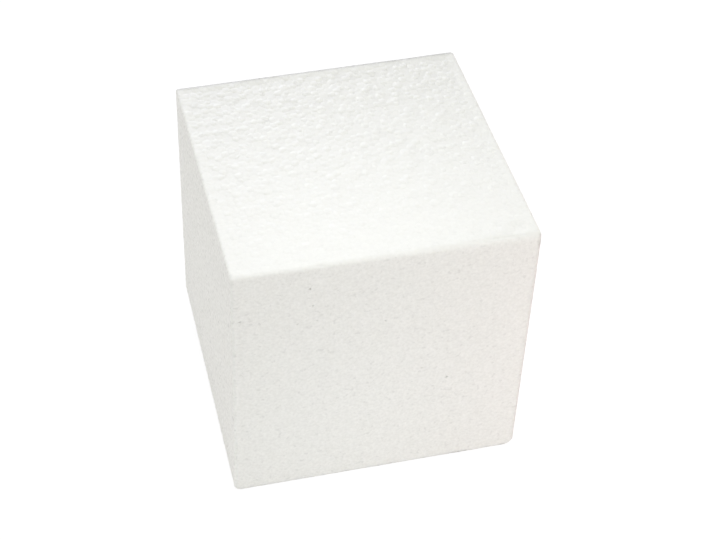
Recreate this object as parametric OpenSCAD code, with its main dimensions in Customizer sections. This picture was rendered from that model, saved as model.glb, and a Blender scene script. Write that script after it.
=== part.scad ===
// Foam block: a cube of expanded polystyrene bead foam, cut square and a little handled.
// Lengths are in millimetres and +Z is up. The origin is the centre of the bottom face,
// with +X to the right along the front face and +Y towards the back.

/* [Block] */
// Width, from the left face to the right face
block_w = 100; // [40:1:300]
// Depth, from the front face to the back face
block_d = 100; // [40:1:300]
// Height, from the base to the top face
block_h = 100; // [40:1:300]

/* [Edges] */
// Radius to which handling has softened every edge
edge_r = 1.2; // [0.4:0.1:4]
// Radius of the front top edge at its most worn end
rubbed_r = 2.6; // [1.4:0.1:6]
// Length of the front top edge that is rubbed, from the right corner
rubbed_len = 74; // [20:1:100]

/* [Worn corners] */
// How far the wear of the front right foot reaches along its edges
wear_front_right_foot = 5; // [3:0.1:10]
// How far the wear of the front left foot reaches
wear_front_left_foot = 3.4; // [2.6:0.1:10]
// How far the wear of the back right foot reaches
wear_back_right_foot = 3; // [2.6:0.1:10]
// How far the wear of the back right top corner reaches
wear_back_right_top = 2.6; // [2.2:0.1:10]

/* [Dents] */
// Radius of the ball that pressed each dent
dent_ball_r = 14; // [6:0.5:30]
// Depth of the dent in the top face, behind the front right corner
corner_dent_depth = 0.5; // [0.2:0.1:1.5]
// Distance of that dent from the right face
corner_dent_side = 7; // [3:0.5:20]
// Distance of that dent from the front face
corner_dent_back = 4.5; // [3:0.5:20]
// Depth of the thumb dent in the front top edge
thumb_dent_depth = 0.7; // [0.3:0.1:2]
// Distance of the thumb dent from the left face
thumb_dent_side = 29; // [10:1:40]

/* [Hidden] */
half_w = block_w / 2;
half_d = block_d / 2;
// Cutters stand this far clear of the faces they cut
clear = 2;
// Segments of every round form
$fn = 96;

// Rectangle on the origin with its four corners rounded by true arcs
module soft_rectangle(a, b, r) {
    square([a, b - 2 * r], center = true);
    square([a - 2 * r, b], center = true);
    for (x = [-1, 1], y = [-1, 1])
        translate([x * (a / 2 - r), y * (b / 2 - r)])
            circle(r);
}

// The block as cut, with all twelve edges softened
module blank() {
    intersection() {
        linear_extrude(block_h)
            soft_rectangle(block_w, block_d, edge_r);
        translate([0, half_d, block_h / 2])
            rotate([90, 0, 0])
                linear_extrude(block_d)
                    soft_rectangle(block_w, block_h, edge_r);
        translate([-half_w, 0, block_h / 2])
            rotate([90, 0, 90])
                linear_extrude(block_w)
                    soft_rectangle(block_d, block_h, edge_r);
    }
}

// Places a cutter made for the corner at the origin, whose solid lies towards +X, +Y and +Z
module at_corner(right, back, top) {
    translate([right ? half_w : -half_w, back ? half_d : -half_d, top ? block_h : 0])
        mirror([right ? 1 : 0, 0, 0])
            mirror([0, back ? 1 : 0, 0])
                mirror([0, 0, top ? 1 : 0])
                    children();
}

// What handling takes off a corner: all that lies outside a ball tangent to its three edges
module corner_wear(reach) {
    difference() {
        translate([-clear, -clear, -clear])
            cube(reach + clear);
        translate([reach, reach, reach])
            sphere(r = reach * sqrt(2));
    }
}

// What rubbing takes off the front top edge: a rounding that fades out towards the left
module rubbed_edge() {
    fade = atan((rubbed_r - edge_r) * (1 - sqrt(0.5)) / rubbed_len);
    translate([half_w, -half_d, block_h])
        rotate([0, fade, fade])
            mirror([1, 0, 0])
                rotate([90, 0, 90])
                    translate([0, 0, -clear])
                        linear_extrude(rubbed_len + clear)
                            difference() {
                                translate([-clear, -rubbed_r])
                                    square(rubbed_r + clear);
                                translate([rubbed_r, -rubbed_r])
                                    circle(rubbed_r);
                            }
}

// Ball that sinks to a given depth below the point it presses on
module dent(point, direction, depth) {
    translate(point - direction * (depth - dent_ball_r) / norm(direction))
        sphere(r = dent_ball_r);
}

// One piece of moulded foam, with its wear
module foam_block() {
    color([0.95, 0.95, 0.93])
        difference() {
            blank();
            rubbed_edge();
            at_corner(true, false, false)
                corner_wear(wear_front_right_foot);
            at_corner(false, false, false)
                corner_wear(wear_front_left_foot);
            at_corner(true, true, false)
                corner_wear(wear_back_right_foot);
            at_corner(true, true, true)
                corner_wear(wear_back_right_top);
            dent([half_w - corner_dent_side, corner_dent_back - half_d, block_h],
                 [0, 0, 1], corner_dent_depth);
            dent([thumb_dent_side - half_w, -half_d, block_h],
                 [0, -1, 1], thumb_dent_depth);
        }
}

foam_block();
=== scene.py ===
# %% [markdown]
# # A block of white bead foam
# Expanded polystyrene is made of small plastic beads that steam has swollen and pressed together
# until they fuse. A block cut from it is a plain cube from a step away, and close to it is a field
# of rounded cells with fine seams between them, a few gaps where beads did not meet, and edges
# that handling has softened. This file models that surface bead by bead, and then lights it.
#
# The measured frame comes first. It gives the size and the place of everything below.

# %% Load the frame
import math
import random

import bmesh
import bpy
from mathutils import Matrix, Quaternion, Vector, noise


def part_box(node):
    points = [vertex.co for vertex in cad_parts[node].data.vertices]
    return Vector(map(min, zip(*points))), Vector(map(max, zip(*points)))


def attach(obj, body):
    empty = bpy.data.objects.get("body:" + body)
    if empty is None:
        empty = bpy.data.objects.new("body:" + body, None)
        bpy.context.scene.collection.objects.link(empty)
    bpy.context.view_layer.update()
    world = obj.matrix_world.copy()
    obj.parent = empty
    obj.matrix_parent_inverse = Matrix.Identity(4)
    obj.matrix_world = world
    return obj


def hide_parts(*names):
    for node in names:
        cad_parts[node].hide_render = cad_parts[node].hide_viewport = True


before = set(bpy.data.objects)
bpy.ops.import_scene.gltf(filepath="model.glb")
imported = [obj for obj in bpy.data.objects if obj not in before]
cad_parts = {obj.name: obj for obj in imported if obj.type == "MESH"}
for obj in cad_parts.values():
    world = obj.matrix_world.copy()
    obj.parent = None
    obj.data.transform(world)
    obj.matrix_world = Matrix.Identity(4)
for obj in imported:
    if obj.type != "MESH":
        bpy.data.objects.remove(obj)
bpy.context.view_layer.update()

low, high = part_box("foam_block")
size = high - low
side = size.x
centre = (low + high) / 2
mm = 0.001
print("block", [round(length / mm, 2) for length in size], "mm")

# %% [markdown]
# ## The camera
# The block is seen from a little to its left and from well above, so that its top, its front and
# a narrow slice of its left face show. A long lens from almost six block widths away keeps the
# far edges nearly as long as the near ones. The camera is turned slightly about its own line of
# sight, as a hand-held one is. Its place is written as angles round the block and a distance in
# block widths, because such numbers still make sense if the block changes size.

# %% Set up the camera
view_azimuth = -15.78
view_elevation = 43.01
view_roll = 2.57
view_distance = 5.814 * side
aim_right = 0.041 * side
aim_up = -0.011 * side
lens_length = 83.6
sensor_width = 36


def towards(azimuth, elevation):
    """The way from the block to a place round it. Azimuth 0 is in front, and 90 to the right."""
    turned = math.radians(azimuth)
    raised = math.radians(elevation)
    return Vector((
        math.sin(turned) * math.cos(raised),
        -math.cos(turned) * math.cos(raised),
        math.sin(raised)))


towards_camera = towards(view_azimuth, view_elevation)
roll = Quaternion((0, 0, 1), math.radians(view_roll))
turn = towards_camera.to_track_quat("Z", "Y") @ roll
aim = centre + turn @ Vector((aim_right, aim_up, 0))

camera = bpy.data.objects.new("camera", bpy.data.cameras.new("camera"))
bpy.context.scene.collection.objects.link(camera)
camera.rotation_mode = "QUATERNION"
camera.rotation_quaternion = turn
camera.location = aim + towards_camera * view_distance
camera.data.lens = lens_length
camera.data.sensor_width = sensor_width
camera.data.clip_start = 0.01
camera.data.clip_end = 20
camera.data.dof.use_dof = False
bpy.context.scene.camera = camera
print("camera at", [round(value, 3) for value in camera.location])

# %% [markdown]
# ## Bead cells, step 1: a grid of seed points
# A pattern in the material could draw the beads, but then a low light would find the surface flat,
# and the mesh would be a bare cube. So every bead here is a cell of the mesh. Each starts
# as one seed point, and the seeds come from a cube whose edges are cut into as many parts as
# beads fit along a side.

# %% Cut a cube into a grid
beads_along_side = 41
bead = side / beads_along_side

cells = bmesh.new()
bmesh.ops.create_cube(cells, size=1)
bmesh.ops.scale(cells, verts=cells.verts, vec=size)
bmesh.ops.translate(cells, verts=cells.verts, vec=centre)
bmesh.ops.subdivide_edges(
    cells, edges=cells.edges[:], cuts=beads_along_side - 1, use_grid_fill=True)
print("seeds", len(cells.verts), "beads of about", round(bead / mm, 2), "mm")

# %% [markdown]
# ## Notes on the mesh
# The steps below have to remember things about a vertex or a face, and layers of the mesh keep
# them. A vertex carries the planes of the cube that it may not leave, its kind, how far it sinks
# below the surface, the number of its bead, and whether it lies in a pit. It also carries four
# looks that the material reads: the seam, where painted shade lies; the darker edges, with painted
# shade on the back top edge; the grit, partly painted fine shading; and painted light on the front
# left upright edge. A face carries the number and the tone of its bead, and the depth of the pit
# that it becomes.

# %% Add the layers
for layer in ("planes", "kind", "bead"):
    cells.verts.layers.int.new(layer)
for layer in ("sink", "seam", "pit", "edge_grey_and_shade", "grit_and_shading", "rubbed"):
    cells.verts.layers.float.new(layer)
for layer in ("tone", "depth"):
    cells.faces.layers.float.new(layer)
cells.faces.layers.int.new("number")
planes_of = cells.verts.layers.int["planes"]
kind_of = cells.verts.layers.int["kind"]
bead_of = cells.verts.layers.int["bead"]
sink_of = cells.verts.layers.float["sink"]
seam_of = cells.verts.layers.float["seam"]
pit_of = cells.verts.layers.float["pit"]
edge_grey_and_shade_of = cells.verts.layers.float["edge_grey_and_shade"]
grit_and_shading_of = cells.verts.layers.float["grit_and_shading"]
rubbed_of = cells.verts.layers.float["rubbed"]
tone_of = cells.faces.layers.float["tone"]
depth_of = cells.faces.layers.float["depth"]
number_of = cells.faces.layers.int["number"]
SEED, JUNCTION, BEND, MOUTH, RIM, CROWN = range(6)
print("vertex layers", cells.verts.layers.int.keys() + cells.verts.layers.float.keys())

# %% [markdown]
# ## Bead cells, step 2: seeds out of line
# Real beads don't sit in rows, so each seed is pushed a little out of line. A seed on an edge of
# the cube only slides along that edge, and a corner seed stays, so the cube keeps its outline.
# The planes of the cube that a vertex lies on are noted as bits, two for each axis: one for the
# lower plane and one for the upper.

# %% Scatter the seeds
scatter = 0.36 * bead
tolerance = 1e-6
lower_plane = [1 << 2 * axis for axis in range(3)]
upper_plane = [2 << 2 * axis for axis in range(3)]
dice = random.Random(7)


def planes_at(point):
    """The bits of the cube's planes that the point lies on."""
    touched = 0
    for axis in range(3):
        if abs(point[axis] - low[axis]) < tolerance:
            touched |= lower_plane[axis]
        if abs(point[axis] - high[axis]) < tolerance:
            touched |= upper_plane[axis]
    return touched


def may_move(vertex, axis):
    """True if no plane of the cube holds the vertex along the axis."""
    return not vertex[planes_of] & (lower_plane[axis] | upper_plane[axis])


for vertex in cells.verts:
    vertex[planes_of] = planes_at(vertex.co)
    for axis in range(3):
        if may_move(vertex, axis):
            vertex.co[axis] += dice.uniform(-scatter, scatter)
print("seeds pushed by up to", round(scatter / mm, 2), "mm")

# %% [markdown]
# ## Bead cells, step 3: even triangles
# The scattered grid is cut into triangles. `beautify_fill` with the AREA method swaps the long
# diagonals for short ones, and `smooth_vert` draws each seed towards the middle of its
# neighbours, as beads that press on each other even out. The cube's own edges are left out of
# both, because a swap there would cut the edge off.

# %% Even out the seeds
smoothing_rounds = 2


def on_cube_edge(edge):
    """True for an edge of the mesh that lies on an edge of the cube."""
    shared = edge.verts[0][planes_of] & edge.verts[1][planes_of]
    return shared.bit_count() >= 2


def swap_long_diagonals():
    free = [edge for edge in cells.edges if not on_cube_edge(edge)]
    bmesh.ops.beautify_fill(cells, faces=cells.faces[:], edges=free, method="AREA")


bmesh.ops.triangulate(cells, faces=cells.faces[:], quad_method="BEAUTY")
swap_long_diagonals()
for _ in range(smoothing_rounds):
    bmesh.ops.smooth_vert(
        cells, verts=[v for v in cells.verts if v[planes_of].bit_count() == 1],
        factor=0.5, use_axis_x=True, use_axis_y=True, use_axis_z=True)
    swap_long_diagonals()
print("triangles between seeds", len(cells.faces))

# %% [markdown]
# ## Bead cells, step 4: from triangles to cells
# Three beads meet inside each triangle, so the middle of a triangle is a junction of seams. The
# seams are found with three operators. `poke` puts a vertex in the middle of every triangle.
# `rotate_edges` then turns each edge between two seeds until it joins the two middles, and that
# turned edge is a seam. Last, `dissolve_verts` takes the seeds away, and what is left round each
# one is a single face, mostly with five, six or seven sides: a bead. A seam that crosses an edge
# of the cube is bent, so there it gets an extra vertex on the bend, and nothing is turned.

# %% Turn the triangles into bead cells
seed_links = [edge for edge in cells.edges if not on_cube_edge(edge)]
cube_edges = [edge for edge in cells.edges if on_cube_edge(edge)]
for vertex in bmesh.ops.poke(cells, faces=cells.faces[:])["verts"]:
    vertex[planes_of] = planes_at(vertex.co)
    vertex[kind_of] = JUNCTION
bmesh.ops.rotate_edges(cells, edges=seed_links, use_ccw=False)
for part in bmesh.ops.bisect_edges(cells, edges=cube_edges, cuts=1)["geom_split"]:
    if isinstance(part, bmesh.types.BMVert):
        part[planes_of] = planes_at(part.co)
        part[kind_of] = BEND
bmesh.ops.connect_verts(cells, verts=[v for v in cells.verts if v[kind_of] != SEED])
bmesh.ops.dissolve_verts(cells, verts=[v for v in cells.verts if v[kind_of] == SEED])
sides = [len(face.verts) for face in cells.faces]
print("bead cells", len(sides), "with", min(sides), "to", max(sides), "sides")

# %% [markdown]
# ## Pits
# Here and there three beads did not fuse where they meet, and a small pit is left. `bevel` on a
# vertex cuts a little three-sided cell out of the meeting corners of the beads, and that cell
# becomes the mouth of the pit. A boolean could drill the pits, but it would leave slivers in the
# cells round them. Small pits fall at random, except on the top, which has none. The larger ones,
# which can be seen from a step away, are placed one by one on the front.
#
# Each bead is numbered between the two. A bevel clears away old faces in an order that changes
# from run to run, so the next one shuffles the faces in memory. The numbers let every bead get
# the same throws of the dice each time.

# %% Cut the mouths of the pits
pit_share = 0.008
pit_steepness = 0.7
small_pit = 0.3 * mm
# Each: mm to the right of the middle of the front, mm above the floor, and reach in mm.
front_pits = [(22, 41, 0.7), (13, 47.5, 0.5), (-24, 91, 0.6), (-24, 83, 0.5), (-47, 81, 0.55),
              (1, 72, 0.5), (-29, 76, 0.5), (-22, 77, 0.45)]


def edge_gap(point):
    """How far the point is from the nearest edge of the cube."""
    return sorted(min(point[axis] - low[axis], high[axis] - point[axis]) for axis in range(3))[1]


def cut_mouths(vertices, reach):
    mouths = bmesh.ops.bevel(
        cells, geom=vertices, offset=reach, offset_type="OFFSET", affect="VERTICES",
        segments=1, profile=0.5, material=-1, clamp_overlap=True)["faces"]
    for mouth in mouths:
        mouth[depth_of] = pit_steepness * reach
        for vertex in mouth.verts:
            vertex[kind_of] = MOUTH


def nearest_junction(place):
    junctions = [v for v in cells.verts if v[kind_of] == JUNCTION]
    return min(junctions, key=lambda vertex: (vertex.co - place).length)


unfused = [v for v in cells.verts
           if edge_gap(v.co) > bead and dice.random() < pit_share and v.co.z < high.z - bead]
cut_mouths(unfused, small_pit)
for number, face in enumerate(cells.faces):
    face[number_of] = number
for across, up, reach in front_pits:
    place = Vector((centre.x + across * mm, low.y, low.z + up * mm))
    cut_mouths([nearest_junction(place)], reach * mm)
pits = [face for face in cells.faces if face[depth_of] > 0]
print("pits", len(pits))

# %% [markdown]
# ## Bead cells, step 5: seams and crowns
# Each cell is inset, which leaves a narrow ring of faces round it, and two rings side by side
# make one seam. The cell's middle is then poked, so that it can stand a little higher than its
# rim. A new vertex is put back on its planes of the cube, because an inset on a cell that bends
# over an edge lands slightly beside them.

# %% Cut the seams
seam_half_width = 0.17 * mm
pit_wall = 0.06 * mm


def put_back(vertex):
    """Moves a vertex onto the planes of the cube that it belongs to."""
    for axis in range(3):
        if vertex[planes_of] & lower_plane[axis]:
            vertex.co[axis] = low[axis]
        elif vertex[planes_of] & upper_plane[axis]:
            vertex.co[axis] = high[axis]


def inset_and_poke(faces, thickness):
    """Leaves a ring round each face and gives the face a middle. Returns the middles in order."""
    bmesh.ops.inset_individual(
        cells, faces=faces, thickness=thickness, depth=0, use_even_offset=True)
    for face in faces:
        for vertex in face.verts:
            vertex[kind_of] = RIM
            vertex[sink_of] = face[depth_of]
            vertex[bead_of] = face[number_of]
            put_back(vertex)
    middles = bmesh.ops.poke(cells, faces=faces)["verts"]
    for middle in middles:
        middle[kind_of] = CROWN
        middle[planes_of] = 0
        middle[seam_of] = 0
        for edge in middle.link_edges:
            rim = edge.other_vert(middle)
            middle[planes_of] |= rim[planes_of]
            middle[sink_of] = rim[sink_of]
            middle[bead_of] = rim[bead_of]
        put_back(middle)
    return sorted(middles, key=lambda middle: middle[bead_of])


beads = [face for face in cells.faces if face[depth_of] == 0]
beads.sort(key=lambda face: face[number_of])
for face in beads:
    face[tone_of] = dice.random()
inset_and_poke(pits, pit_wall)
for vertex in cells.verts:
    vertex[pit_of] = 1 if vertex[sink_of] > 0 else 0
crowns = inset_and_poke(beads, seam_half_width)
print("vertices", len(cells.verts), "faces", len(cells.faces))
print("beads with a number of their own", len({crown[bead_of] for crown in crowns}))

# %% [markdown]
# ## Bead relief
# The faces of the block are flat, but no bead is quite level with the next. How far each vertex
# lies below the true surface is written in a layer first, and is only applied at the end, so that
# it can follow the rounded edges. Crowns lie highest, rims a little lower, and seams lowest.

# %% Give the beads their relief
level_spread = 0.006 * mm
crown_rise = 0.34 * mm
rise_varies = (0.75, 1.25)
tilt_spread = 0.01
groove_depth = 0.02 * mm
groove_varies = (0.2, 1.8)


def neighbours(vertex, kind):
    return [edge.other_vert(vertex) for edge in vertex.link_edges
            if edge.other_vert(vertex)[kind_of] == kind]


for crown in crowns:
    level = abs(dice.gauss(0, level_spread))
    rise = crown_rise * dice.uniform(*rise_varies)
    tilt = Vector([dice.gauss(0, tilt_spread) for _ in range(3)])
    crown[sink_of] = level
    for rim in neighbours(crown, RIM):
        rim[sink_of] = max(0, level + rise + tilt.dot(rim.co - crown.co))

seams = [v for v in cells.verts if v[kind_of] in (JUNCTION, BEND, MOUTH)]
for seam in seams:
    rims = [rim for rim in neighbours(seam, RIM) if not rim[pit_of]]
    around = sum(rim[sink_of] for rim in rims) / len(rims)
    seam[sink_of] = around + groove_depth * dice.uniform(*groove_varies)
    seam[seam_of] = 1
print("crowns", len(crowns), "seam vertices", len(seams))

# %% [markdown]
# ## A crease
# Close behind the right end of the front top edge the skin of the foam has folded in, where a
# finger pressed the edge down. The bead cells are too coarse for a line that thin, so three
# planes cut through them first with `bisect_plane`. The new vertices let the line sink later.

# %% Cut along the crease
crease_from_right = 32 * mm
crease_behind = 1.3 * mm
crease_width = 0.5 * mm
crease_depth = 0.3 * mm


def near_crease(face):
    middle = face.calc_center_median()
    return (middle.z > high.z - tolerance and middle.x > high.x - crease_from_right
            and abs(middle.y - low.y - crease_behind) < bead)


for step in (-1, 0, 1):
    parts = set()
    for face in filter(near_crease, cells.faces):
        parts.update([face, *face.edges, *face.verts])
    cut = bmesh.ops.bisect_plane(
        cells, geom=list(parts), dist=tolerance, plane_no=(0, 1, 0),
        plane_co=(0, low.y + crease_behind + step * crease_width, 0))["geom_cut"]
    print("vertices and edges on cut", step, "are", len(cut))

# %% [markdown]
# ## Rounded edges
# So far the cells lie on a cube with sharp edges. A point within one edge radius of an edge is
# moved onto a rounding: the nearest point of a smaller cube inside is found, and the vertex is
# set at the edge radius from it. On the open faces that changes nothing. A modifier could bevel
# the edges instead, but it would cut the bead cells there to pieces.

# %% Soften the edges
edge_radius = 0.9 * mm


def softened(point):
    """The place of a cube point on the softened block, and the way out of the block there."""
    core = Vector([
        min(max(point[axis], low[axis] + edge_radius), high[axis] - edge_radius)
        for axis in range(3)])
    outward = (point - core).normalized()
    return core + outward * edge_radius, outward


print("edges rounded to", round(edge_radius / mm, 2), "mm")

# %% [markdown]
# ## Wear
# The foam is soft, and the block has been handled. Three kinds of wear are pressed into it, each
# a solid that the surface may not cross. A worn corner stays inside a ball that touches its three
# edges. The worn front top edge stays inside a cylinder that drifts outwards to the left, where
# the wear ends. A dent stays outside the ball that pressed it. Sculpting could do the same by
# hand, but a ball and a cylinder have sizes that can be read and changed.

# %% Wear the corners
# Each: the corner of the cube, and how far the wear reaches along its edges.
worn_corners = [
    (Vector((high.x, low.y, low.z)), 5.0 * mm),
    (Vector((low.x, low.y, low.z)), 3.4 * mm),
    (Vector((high.x, high.y, low.z)), 3.0 * mm),
    (Vector((high.x, high.y, high.z)), 2.6 * mm),
    (Vector((low.x, high.y, low.z)), 3.8 * mm),
    (Vector((high.x, low.y, high.z)), 2.4 * mm),
]


def wear_corner(point, corner, reach):
    inward = Vector([1 if corner[axis] < centre[axis] else -1 for axis in range(3)])
    if max(abs(point[axis] - corner[axis]) for axis in range(3)) > reach:
        return point
    middle = corner + inward * reach
    away = point - middle
    return middle + away * min(1, reach * math.sqrt(2) / away.length)


print("worn corners", len(worn_corners))

# %% Rub the front top edge
rubbed_radius = 2.6 * mm
rubbed_length = 74 * mm


def rub_front_edge(point):
    from_right = high.x - point.x
    if from_right > rubbed_length:
        return point
    drift = (rubbed_radius - edge_radius) * (1 - math.sqrt(0.5)) * from_right / rubbed_length
    middle = Vector((
        point.x, low.y + rubbed_radius - drift, high.z - rubbed_radius + drift))
    away = point - middle
    if away.y > 0 or away.z < 0:
        return point
    return middle + away * min(1, rubbed_radius / away.length)


print("rubbed to", round(rubbed_radius / mm, 2), "mm over", round(rubbed_length / mm, 1), "mm")

# %% Press the dents in
dent_radius = 14 * mm
# Each: where the ball pressed, the way out of the block there, and the depth.
dents = [
    (Vector((high.x - 7 * mm, low.y + 4.5 * mm, high.z)), Vector((0, 0, 1)), 0.5 * mm),
    (Vector((low.x + 29 * mm, low.y, high.z)), Vector((0, -1, 1)).normalized(), 0.7 * mm),
]


def press_dent(point, place, direction, depth):
    middle = place + direction * (dent_radius - depth)
    away = point - middle
    return middle + away * max(1, dent_radius / away.length)


print("dents", len(dents))

# %% [markdown]
# ## A cut that is not quite square
# The block was cut by hand, and the saw wandered. Its back left edge is shorter than the others:
# the top falls a little towards that corner, and the foot there does not reach the floor. Both are
# one small change of height that grows towards the back left edge. A lattice could bend the block
# like this, but one formula does it to each vertex as it is placed.

# %% Let the cut wander
top_fall = 1.65 * mm
foot_lift = 4.0 * mm


def off_square(point):
    leftwards = (high.x - point.x) / size.x
    backwards = (point.y - low.y) / size.y
    upwards = (point.z - low.z) / size.z
    change = foot_lift * (1 - upwards) - top_fall * upwards
    return point + Vector((0, 0, leftwards * backwards * change))


print("back left edge shorter by", round((top_fall + foot_lift) / mm, 2), "mm")

# %% [markdown]
# ## Darker edges, painted shade and painted light
# The colour is darker along the edges, most of all on the back top edge, where it is painted shade
# for the side of the rounding that turns away from the light. The three edges that meet at the near
# top left corner are left out, and the upright one of them gets painted light instead: its colour
# is brighter than the faces beside it, to lift the shade that falls on its rounding. All of this
# lies along straight lines, so each mark is a line and a reach, and its grey fades with the
# distance from the line. That is simpler than a painted picture, and it stays as sharp as the mesh.

# %% Darken the edges
along_x, along_y, along_z = Matrix.Identity(3)
edge_grey_reach = 1.0 * mm
# Each: a place on the edge, the way it runs, and how grey it is.
greyed_edges = [
    # The back top edge: painted shade, for the side of its rounding that turns away from the light.
    (Vector((0, high.y, high.z)), along_x, 0.7),
    (Vector((high.x, 0, high.z)), along_y, 0.05),
    (Vector((high.x, low.y, 0)), along_z, 0.32),
    (Vector((high.x, high.y, 0)), along_z, 0.12),
    (Vector((low.x, high.y, 0)), along_z, 0.28),
    (Vector((0, low.y, low.z)), along_x, 0.08),
    (Vector((0, high.y, low.z)), along_x, 0.12),
    (Vector((low.x, 0, low.z)), along_y, 0.18),
    (Vector((high.x, 0, low.z)), along_y, 0.12),
]
# Painted light: the front left upright edge is made brighter, to lift the shade on its rounding.
rubbed_clean = Vector((low.x, low.y, 0))
rubbed_reach = 0.9 * mm


def near_line(point, place, direction, reach):
    """1 on a line, fading to 0 with the distance from it."""
    gap = (point - place).cross(direction).length
    return math.exp(-(gap / reach) ** 2)


print("soiled edges", len(greyed_edges))

# %% [markdown]
# ## Short dark marks
# The front foot has short dark marks along its right half. One more lies on the right edge, close
# below the top. A short mark darkens like an edge, and also fades along its line.

# %% Mark the foot
mark_reach = 0.9 * mm
# Each: mm to the right of the middle of the front foot, mm of reach along it, and how grey it is.
foot_marks = [(1, 1, 0.7), (5, 2, 0.45), (17, 1.5, 0.4), (27, 7, 0.45), (29.5, 1.8, 1),
               (46, 2, 0.55)]
front_foot = Vector((centre.x, low.y, low.z))
short_marks = [
    (front_foot + along_x * across * mm, along_x, length * mm, strength)
    for across, length, strength in foot_marks]
short_marks.append((Vector((high.x, low.y, high.z - 4.2 * mm)), along_z, 2.4 * mm, 0.7))


def edge_grey_and_shade_at(point):
    """How much darker the colour is at a point of the cube; on the back top edge this is painted
    shade.
    """
    along_edges = max(
        strength * near_line(point, place, direction, edge_grey_reach)
        for place, direction, strength in greyed_edges)
    marked = max(
        strength * near_line(point, place, direction, mark_reach)
        * math.exp(-((point - place).dot(direction) / length) ** 2)
        for place, direction, length, strength in short_marks)
    return max(along_edges, marked)


print("short_marks", len(short_marks))

# %% [markdown]
# ## Grit and painted fine shading
# Close up the foam is mottled: a fine grain makes it brighter and duller in turn, and a few grains
# are grey specks. The brighter and duller grain is partly painted shading of fine relief, which the
# bump in the material also gives. The sides show this clearly, the front less, and the sawn top
# hardly at all. The amount is worked out from the way that the surface faces, so it changes
# smoothly over the rounded edges.

# %% Set the grit and painted fine shading of each face
side_grit_and_shading = 1.8
front_grit_and_shading = 0.8
top_grit_and_shading = 0.25


def grit_and_shading_at(outward):
    """How strong the grit and the painted fine shading are where the surface faces this way."""
    return Vector((side_grit_and_shading, front_grit_and_shading, top_grit_and_shading)).dot(Vector(part ** 2 for part in outward))


print("grit at the front top edge", round(grit_and_shading_at(Vector((0, -1, 1)).normalized()), 3))

# %% [markdown]
# ## Uneven edges
# Wear is never even. A slow noise makes the surface near every edge a little deeper in some
# places than in others, and more so along the worn part of the front top edge. The crease is
# deepest in its middle, and runs out at both ends.

# %% Make the edges uneven
uneven_edge = 0.09 * mm
uneven_rub = 0.3 * mm
uneven_scale = 9 * mm
edge_zone = 2.2 * mm
crease_fade_in = 18 * mm
crease_clear = 3 * mm
crease_fade_out = 2 * mm


def crease(point):
    """How deep the crease lies at a point of the cube."""
    if point.z < high.z - tolerance:
        return 0
    behind = (point.y - low.y - crease_behind) / crease_width
    from_right = high.x - point.x
    fade_in = min(1, max(0, (crease_from_right - from_right) / crease_fade_in))
    fade_out = min(1, max(0, (from_right - crease_clear) / crease_fade_out))
    return crease_depth * fade_in * fade_out * math.exp(-behind ** 2)


def near_cube_edge(point):
    """1 on an edge of the cube, fading to 0 away from it."""
    return math.exp(-(edge_gap(point) / edge_zone) ** 2)


def unevenness(point):
    """How much deeper slow, patchy wear has gone near the block's edges."""
    patch = 0.5 + 0.5 * noise.noise(point / uneven_scale)
    wear_left = max(0, 1 - (high.x - point.x) / rubbed_length)
    front_top = math.exp(-((point - Vector((point.x, low.y, high.z))).length / edge_zone) ** 2)
    return near_cube_edge(point) * patch * uneven_edge + front_top * wear_left * patch * uneven_rub


print("edges uneven by up to", round((uneven_edge + uneven_rub) / mm, 2), "mm")

# %% [markdown]
# ## How strongly the beads stand out
# The top and the underside were sawn, and the saw tore the beads loose, so they stand out there.
# Hands have pressed them flat again towards the front. The other faces are smoother, with patches
# that are almost plain. On the edges, handling has left little of any relief.

# %% Scale the relief
back_relief = 1.5
front_relief = 0.27
side_relief = 0.12
patch_scale = 14 * mm
edge_relief = 0.15


def relief_at(point, outward):
    """How strongly the beads stand out at a point of the surface."""
    sawn = outward.z ** 2
    from_front = (point.y - low.y) / size.y
    sawn_relief = front_relief + (back_relief - front_relief) * from_front
    patch = 1 + noise.noise(point / patch_scale)
    return sawn * sawn_relief + (1 - sawn) * side_relief * patch


def left_by_wear(point):
    """The share of the beads' relief that handling has left: little on edges, all elsewhere."""
    return 1 - (1 - edge_relief) * near_cube_edge(point)


print("relief from", side_relief, "on the sides to", back_relief, "at the back of the top")

# %% [markdown]
# ## Every vertex in its place
# Now each vertex goes through the steps above in turn: it is set on the rounded block, worn, sunk
# below the surface by its relief, and moved by the wandering cut. Its looks are taken at its place
# on the plain cube, where the edges are still straight lines.

# %% Move the vertices
for vertex in cells.verts:
    point, outward = softened(vertex.co)
    # Darker edges, with painted shade on the back top edge.
    vertex[edge_grey_and_shade_of] = edge_grey_and_shade_at(vertex.co)
    # Painted light along the front left upright edge.
    vertex[rubbed_of] = near_line(vertex.co, rubbed_clean, along_z, rubbed_reach)
    vertex[grit_and_shading_of] = grit_and_shading_at(outward)
    for corner, reach in worn_corners:
        point = wear_corner(point, corner, reach)
    point = rub_front_edge(point)
    for place, direction, depth in dents:
        point = press_dent(point, place, direction, depth)
    left = left_by_wear(vertex.co)
    vertex[seam_of] *= left
    relief = 1 if vertex[pit_of] else relief_at(point, outward) * left
    sunk = vertex[sink_of] * relief + unevenness(point) + crease(vertex.co)
    vertex.co = off_square(point - outward * sunk)


def extent(axis):
    return max(v.co[axis] for v in cells.verts) - min(v.co[axis] for v in cells.verts)


print("block with wear", [round(extent(axis) / mm, 3) for axis in range(3)], "mm")

# %% [markdown]
# ## The block as an object
# The layers that only served the modelling are taken off, and the ones that the material reads
# stay on the mesh as attributes. The object sits at the origin, because its vertices already
# stand in the frame, and it replaces the plain block of the frame.

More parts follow.
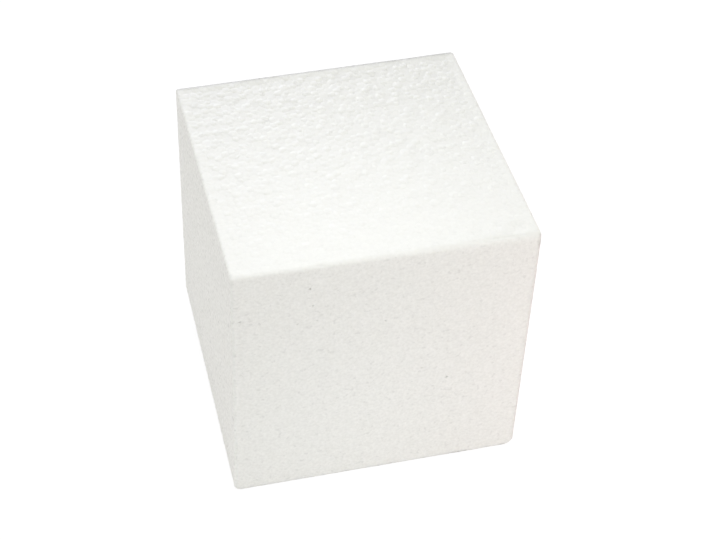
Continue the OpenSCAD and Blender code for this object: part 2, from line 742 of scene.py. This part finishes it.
# %% Make the block's object
for layer in ("planes", "kind", "bead"):
    cells.verts.layers.int.remove(cells.verts.layers.int[layer])
for layer in ("sink", "pit"):
    cells.verts.layers.float.remove(cells.verts.layers.float[layer])
cells.faces.layers.float.remove(cells.faces.layers.float["depth"])
cells.faces.layers.int.remove(cells.faces.layers.int["number"])
bmesh.ops.recalc_face_normals(cells, faces=cells.faces[:])
mesh = bpy.data.meshes.new("bead_foam_block")
cells.to_mesh(mesh)
cells.free()
mesh.shade_smooth()
block = bpy.data.objects.new("bead_foam_block", mesh)
bpy.context.scene.collection.objects.link(block)
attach(block, "root")
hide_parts("foam_block")
mesh.calc_loop_triangles()
print("triangles", len(mesh.loop_triangles))

# %% [markdown]
# ## Shader helpers
# A material is a graph of nodes. Two small classes keep it readable. `Value` wraps the socket of
# a number, so that `base + mask * 0.5` adds the Math nodes for that sum. `Graph` holds one
# material or world and adds every other kind of node.

# %% Define the shader helpers


class Value:
    """The output of a node that carries one number."""

    def __init__(self, graph, socket):
        self.graph = graph
        self.socket = socket

    def combine(self, operation, first, second):
        node = self.graph.add(
            "ShaderNodeMath", {"operation": operation}, {0: first, 1: second})
        return Value(self.graph, node.outputs[0])

    def __add__(self, other):
        return self.combine("ADD", self, other)

    __radd__ = __add__

    def __sub__(self, other):
        return self.combine("SUBTRACT", self, other)

    def __rsub__(self, other):
        return self.combine("SUBTRACT", other, self)

    def __mul__(self, other):
        return self.combine("MULTIPLY", self, other)

    __rmul__ = __mul__


class Graph:
    """The nodes of one material or world."""

    def __init__(self, owner):
        owner.use_nodes = True
        self.tree = owner.node_tree
        self.tree.nodes.clear()

    def add(self, kind, settings=None, inputs=None):
        """A new node: its settings come first, then the values or links of its sockets."""
        node = self.tree.nodes.new(kind)
        for name, setting in (settings or {}).items():
            setattr(node, name, setting)
        for name, given in (inputs or {}).items():
            if isinstance(given, Value):
                given = given.socket
            if isinstance(given, bpy.types.NodeSocket):
                self.tree.links.new(given, node.inputs[name])
            else:
                node.inputs[name].default_value = given
        return node

    def value(self, kind, settings=None, inputs=None, output=0):
        return Value(self, self.add(kind, settings, inputs).outputs[output])

    def attribute(self, name):
        """A number that the mesh carries."""
        return self.value("ShaderNodeAttribute", {"attribute_name": name}, output="Fac")

    def mix(self, factor, first, second):
        """A colour between two colours."""
        node = self.add(
            "ShaderNodeMix", {"data_type": "RGBA"}, {"Factor": factor, 6: first, 7: second})
        return node.outputs[2]


print("helpers", Value.__name__, "and", Graph.__name__)

# %% [markdown]
# ## Bead foam: what the mesh tells, and what is finer
# The looks of each bead come from the mesh: its own tone, its seams with painted shade, the darker
# edges with painted shade on the back top edge, the grit with its partly painted fine shading, and
# painted light on the front left upright edge. The rest is finer than the mesh can carry and comes
# from three textures on Object coordinates: a grain of about 1 mm, grey specks, and the tiny
# bubbles of the foam.
# Their scales count repeats in a metre. None of the noise scales is a round thousand, because a
# noise is flat where its scale times a coordinate is a whole number, as it would be all over a
# face of the block.

# %% Read the mesh and add the textures
grain_scale = 1005
speck_scale = 625
bubble_scale = 3500
noise_detail = {"Detail": 1, "Roughness": 0.5}

foam = bpy.data.materials.new("bead_foam")
graph = Graph(foam)
on_block = graph.add("ShaderNodeTexCoord").outputs["Object"]
tone = graph.attribute("tone")
seam = graph.attribute("seam")
grain = graph.value(
    "ShaderNodeTexNoise", inputs={"Vector": on_block, "Scale": grain_scale, **noise_detail})
spots = graph.value(
    "ShaderNodeTexNoise", inputs={"Vector": on_block, "Scale": speck_scale, **noise_detail})
bubbles = graph.value(
    "ShaderNodeTexVoronoi", inputs={"Vector": on_block, "Scale": bubble_scale})
# Darker edges, with painted shade on the back top edge.
edge_grey_and_shade = graph.attribute("edge_grey_and_shade")
# Grit, partly painted fine shading.
grit_and_shading = graph.attribute("grit_and_shading")
# Painted light on the front left upright edge.
rubbed = graph.attribute("rubbed")
print("nodes so far", len(foam.node_tree.nodes))

# %% [markdown]
# ## Bead foam: colour
# The plastic is white. A number called the mottle runs from bright to dull: the grain moves it by
# the grit, which is partly painted fine shading, each bead adds its own tone, and painted light
# makes the front left upright edge brighter. Painted shade in the seams, the darker edges with
# painted shade on the back top edge, and the grey specks are laid over that. A picture could hold
# all this, but sums of a few masks are easy to change, and they fit a block of any size.

# %% Mix the colour
bright_bead = (0.985, 0.980, 0.945, 1)
dull_bead = (0.785, 0.780, 0.745, 1)
# The dark grey that the marks mix towards: painted shade in the seams and on the back top edge,
# plain grey on the other edges and in the specks.
dark_grey = (0.28, 0.27, 0.26, 1)
middle_tone = 0.475
tone_spread = 0.05
# Painted light: how much brighter the front left upright edge is made.
rubbed_brightness = 0.27
# Painted shade that darkens the seams.
painted_seam_shade = 0.03
speck_grey = 0.15
speck_starts = 0.62
speck_full = 0.75

speck = graph.value("ShaderNodeMapRange", {"interpolation_type": "SMOOTHSTEP"}, {
    "Value": spots, "From Min": speck_starts, "From Max": speck_full})
# The mottle holds the painted edge light, and partly painted fine shading through the grit.
mottle = (grain - 0.5) * grit_and_shading + tone * tone_spread + middle_tone - rubbed * rubbed_brightness
bead_colour = graph.mix(mottle, bright_bead, dull_bead)
# Painted shade in the seams and on the back top edge, darker edges, and grey specks.
grey = seam * painted_seam_shade + edge_grey_and_shade + speck * grit_and_shading * speck_grey
colour = graph.mix(grey, bead_colour, dark_grey)
print("nodes with the colour", len(foam.node_tree.nodes))

# %% [markdown]
# ## Bead foam: surface
# The walls of the bubbles scatter light a few millimetres deep, which a little subsurface
# scattering gives. The skin of the beads is satin, and the grain makes it duller in places, so a
# low light leaves small bright points on it. Grain and bubbles also feed one bump, for the relief
# that is too fine for the mesh.

# %% Make the surface
grain_share = 0.6
bubble_share = 0.4
bump_height = 0.1 * mm
skin_roughness = 0.36
roughness_spread = 0.3

bump = graph.add("ShaderNodeBump", inputs={
    "Strength": 1, "Distance": bump_height,
    "Height": grain * grain_share + bubbles * bubble_share})
surface = graph.add("ShaderNodeBsdfPrincipled", inputs={
    "Base Color": colour,
    "Roughness": skin_roughness + grain * roughness_spread,
    "Normal": bump.outputs["Normal"],
    "Specular IOR Level": 0.4,
    "Subsurface Weight": 0.15,
    "Subsurface Radius": (1, 1, 0.9),
    "Subsurface Scale": 1.5 * mm,
})
graph.add("ShaderNodeOutputMaterial", inputs={"Surface": surface.outputs[0]})
block.data.materials.append(foam)
print("foam nodes", len(foam.node_tree.nodes))

# %% [markdown]
# ## Floor
# The block stands on a white studio floor. For light that bounces, the floor is plain matt white.
# For the camera, part of that is swapped for a steady white of its own, so that the floor comes
# out white, and the part that stays still shows the block's soft shadow. Mirror-like rays see the
# same floor as the camera. More light could also make the floor white, but then the block's own
# pale faces would lose their beads in the glare.

# %% Lay the floor
floor_reach = 2
floor_gap = 0.02 * mm
floor_white = (0.9, 0.9, 0.9, 1)
shadow_grey = (0.2, 0.2, 0.2, 1)
steady_white = 0.88

studio = bmesh.new()
bmesh.ops.create_grid(studio, x_segments=8, y_segments=8, size=floor_reach)
bmesh.ops.translate(studio, verts=studio.verts, vec=(0, 0, low.z - floor_gap))
floor_mesh = bpy.data.meshes.new("studio_floor")
studio.to_mesh(floor_mesh)
studio.free()
floor = bpy.data.objects.new("studio_floor", floor_mesh)
bpy.context.scene.collection.objects.link(floor)


def seen_directly(graph):
    """1 where a camera, glossy or transmission ray looks, and 0 for light that bounces."""
    path = graph.add("ShaderNodeLightPath")
    seen = Value(graph, path.outputs["Is Camera Ray"])
    for ray in ("Is Glossy Ray", "Is Transmission Ray"):
        seen = seen + Value(graph, path.outputs[ray])
    return seen


floor_paint = bpy.data.materials.new("studio_floor")
graph = Graph(floor_paint)
matt = graph.add("ShaderNodeBsdfDiffuse", inputs={"Color": floor_white})
shadow_catcher = graph.add("ShaderNodeBsdfDiffuse", inputs={"Color": shadow_grey})
steady = graph.add("ShaderNodeEmission", inputs={
    "Color": (1, 1, 1, 1), "Strength": steady_white})
white = graph.add("ShaderNodeAddShader", inputs={
    0: shadow_catcher.outputs[0], 1: steady.outputs[0]})
shown = graph.add("ShaderNodeMixShader", inputs={
    0: seen_directly(graph), 1: matt.outputs[0], 2: white.outputs[0]})
graph.add("ShaderNodeOutputMaterial", inputs={"Surface": shown.outputs[0]})
floor_mesh.materials.append(floor_paint)
print("floor reaches", round(max(v.co.x for v in floor_mesh.vertices), 2), "m each way")

# %% [markdown]
# ## World
# Most of the light is an even, faintly warm glow from all round, as in a white light tent. The
# camera sees plain white behind the block instead of that glow, in the same way as on the floor.

# %% Set the world
ambient_strength = 0.669
ambient_colour = (1.0, 1, 0.97, 1)

world = bpy.data.worlds.new("studio")
bpy.context.scene.world = world
graph = Graph(world)
light = graph.add("ShaderNodeBackground", inputs={
    "Color": ambient_colour, "Strength": ambient_strength})
backdrop = graph.add("ShaderNodeBackground", inputs={"Color": (1, 1, 1, 1), "Strength": 1})
sky = graph.add("ShaderNodeMixShader", inputs={
    0: seen_directly(graph), 1: light.outputs[0], 2: backdrop.outputs[0]})
graph.add("ShaderNodeOutputWorld", inputs={"Surface": sky.outputs[0]})
print("world nodes", len(world.node_tree.nodes))

# %% [markdown]
# ## Studio lamps
# The even glow alone would leave the beads flat. A low lamp behind the block rakes its top, so
# that each bead shows a bright and a dark side. A small lamp above the front edge brightens the
# near part of the top. Four weak lamps, none higher than the block, light its front and its
# sides unevenly, as pale walls near by would, each with a tint of its own. They stay low, because
# light from above would fill the small shadows that the raking lamp leaves on the top. Each is an
# area lamp that points at the middle of the block. Its place is given as an azimuth, an elevation
# and a distance, like the camera's, with distances and widths in metres and powers in watts.

# %% Hang the lamps


def hang_lamp(name, azimuth, elevation, distance, width, power, colour):
    """An area lamp that points at the block."""
    direction = towards(azimuth, elevation)
    lamp = bpy.data.objects.new(name, bpy.data.lights.new(name, "AREA"))
    lamp.data.shape = "SQUARE"
    lamp.data.size = width
    lamp.data.energy = power
    lamp.data.color = colour
    lamp.location = centre + direction * distance
    lamp.rotation_mode = "QUATERNION"
    lamp.rotation_quaternion = direction.to_track_quat("Z", "Y")
    bpy.context.scene.collection.objects.link(lamp)
    print(name, "at", [round(value, 3) for value in lamp.location], "of", power, "W")


hang_lamp("back_lamp", azimuth=180, elevation=20, distance=1.0, width=0.3,
          power=2.55, colour=(0.98, 1, 1.17))
hang_lamp("key_lamp", azimuth=-5, elevation=70, distance=0.22, width=0.1,
          power=0.106, colour=(0.97, 1, 1.03))
hang_lamp("right_lamp", azimuth=60, elevation=4, distance=0.25, width=0.08,
          power=0.097, colour=(1.3, 1, 1.0))
hang_lamp("left_lamp", azimuth=-85, elevation=4, distance=0.3, width=0.08,
          power=0.036, colour=(1.05, 1, 0.98))
hang_lamp("left_front_lamp", azimuth=-50, elevation=4, distance=0.25, width=0.08,
          power=0.007, colour=(1.1, 1, 1.0))
hang_lamp("front_lamp", azimuth=-5, elevation=-8, distance=0.15, width=0.05,
          power=0.0102, colour=(0.85, 1, 1.1))

# %% [markdown]
# ## The view
# The picture is shown with the Standard view, which leaves colours as they are written.

# %% Set the view
bpy.context.scene.view_settings.view_transform = "Standard"
